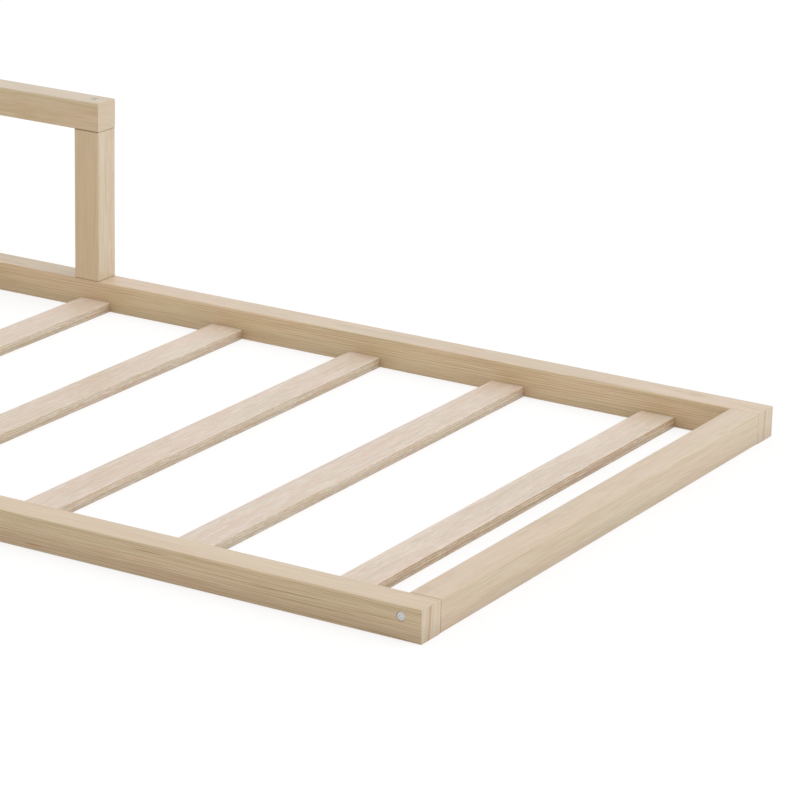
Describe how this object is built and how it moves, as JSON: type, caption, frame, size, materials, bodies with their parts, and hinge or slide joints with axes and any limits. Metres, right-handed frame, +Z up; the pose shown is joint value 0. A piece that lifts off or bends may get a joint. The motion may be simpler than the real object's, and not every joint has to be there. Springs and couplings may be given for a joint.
{
  "type": "toddler floor bed",
  "caption": "Low pine floor bed for a toddler: a frame of square bars on the floor, slats between them, and a short guard of posts and a top rail on one side.",
  "frame": {"origin": "on the floor, under the middle of the bed's bounding box", "axes": "+X along the bed to the foot end, +Y across it to the side with the guard, +Z up"},
  "size_m": [1.502, 0.808, 0.275],
  "materials": {
    "pine_bar": "planed and sanded pine, pale, near matt clear finish",
    "pine_slat": "planed and sanded pine, paler and pinker than the bars, unfinished matt",
    "zinc_steel": "bright zinc plating, satin",
    "beech_dowel": "plain turned beech, unfinished"
  },
  "bodies": {
    "root": {"front_side_rail": "pine_bar", "back_side_rail": "pine_bar", "head_end_rail": "pine_bar", "foot_end_rail": "pine_bar", "guard_head_post": "pine_bar", "guard_foot_post": "pine_bar", "guard_top_rail": "pine_bar", "slat_1": "pine_slat", "slat_2": "pine_slat", "slat_3": "pine_slat", "slat_4": "pine_slat", "slat_5": "pine_slat", "slat_6": "pine_slat", "slat_7": "pine_slat", "corner_bolts": "zinc_steel", "corner_barrel_nuts": "zinc_steel", "guard_rail_bolts": "zinc_steel", "guard_rail_barrel_nuts": "zinc_steel", "post_base_bolts": "zinc_steel", "post_base_barrel_nuts": "zinc_steel", "corner_dowels": "beech_dowel", "guard_rail_dowels": "beech_dowel", "post_base_dowels": "beech_dowel", "slat_dowels": "beech_dowel"}
  },
  "joints": []
}
